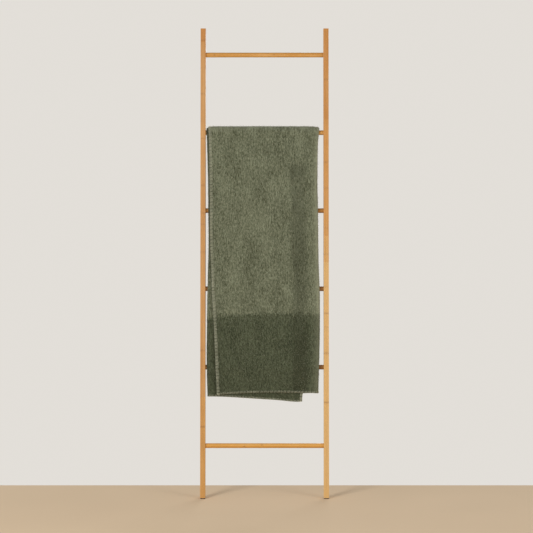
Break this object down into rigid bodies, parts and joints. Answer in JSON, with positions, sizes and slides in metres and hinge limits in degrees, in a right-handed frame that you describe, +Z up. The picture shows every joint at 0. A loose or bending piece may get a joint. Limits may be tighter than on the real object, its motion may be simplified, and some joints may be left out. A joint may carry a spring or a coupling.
{
  "type": "throw on ladder rack",
  "caption": "Leaning bamboo ladder rack with round rungs, and a wool throw with a darker border folded lengthwise and hung over an upper rung.",
  "frame": {"origin": "on the floor, under the middle of the leaning object's box", "axes": "+Z up, +X to the right as seen from the front, +Y from the front to the wall that the ladder leans on"},
  "size_m": [0.5, 0.2358, 1.8203],
  "materials": {
    "rail_bamboo": "satin laminated bamboo",
    "rung_bamboo": "satin turned bamboo",
    "wool": "brushed heathered weave with a darker border",
    "bolt_steel": "zinc plated",
    "insert_brass": "turned",
    "pad_rubber": "matt",
    "bumper_felt": "pressed felt"
  },
  "bodies": {
    "ladder": {"left_rail": "rail_bamboo", "right_rail": "rail_bamboo", "rung_1": "rung_bamboo", "rung_2": "rung_bamboo", "rung_3": "rung_bamboo", "rung_4": "rung_bamboo", "rung_5": "rung_bamboo", "rung_6": "rung_bamboo", "bolt_left_1": "bolt_steel", "bolt_left_2": "bolt_steel", "bolt_left_3": "bolt_steel", "bolt_left_4": "bolt_steel", "bolt_left_5": "bolt_steel", "bolt_left_6": "bolt_steel", "bolt_right_1": "bolt_steel", "bolt_right_2": "bolt_steel", "bolt_right_3": "bolt_steel", "bolt_right_4": "bolt_steel", "bolt_right_5": "bolt_steel", "bolt_right_6": "bolt_steel", "insert_left_1": "insert_brass", "insert_left_2": "insert_brass", "insert_left_3": "insert_brass", "insert_left_4": "insert_brass", "insert_left_5": "insert_brass", "insert_left_6": "insert_brass", "insert_right_1": "insert_brass", "insert_right_2": "insert_brass", "insert_right_3": "insert_brass", "insert_right_4": "insert_brass", "insert_right_5": "insert_brass", "insert_right_6": "insert_brass", "foot_pad_left": "pad_rubber", "foot_pad_right": "pad_rubber", "wall_bumper_left": "bumper_felt", "wall_bumper_right": "bumper_felt"},
    "throw": {"throw": "wool"}
  },
  "joints": [
    {"name": "throw_slide", "type": "slide", "parent": "ladder", "child": "throw", "axis": [1, 0, 0], "range_m": [-0.002, 0.014]}
  ]
}
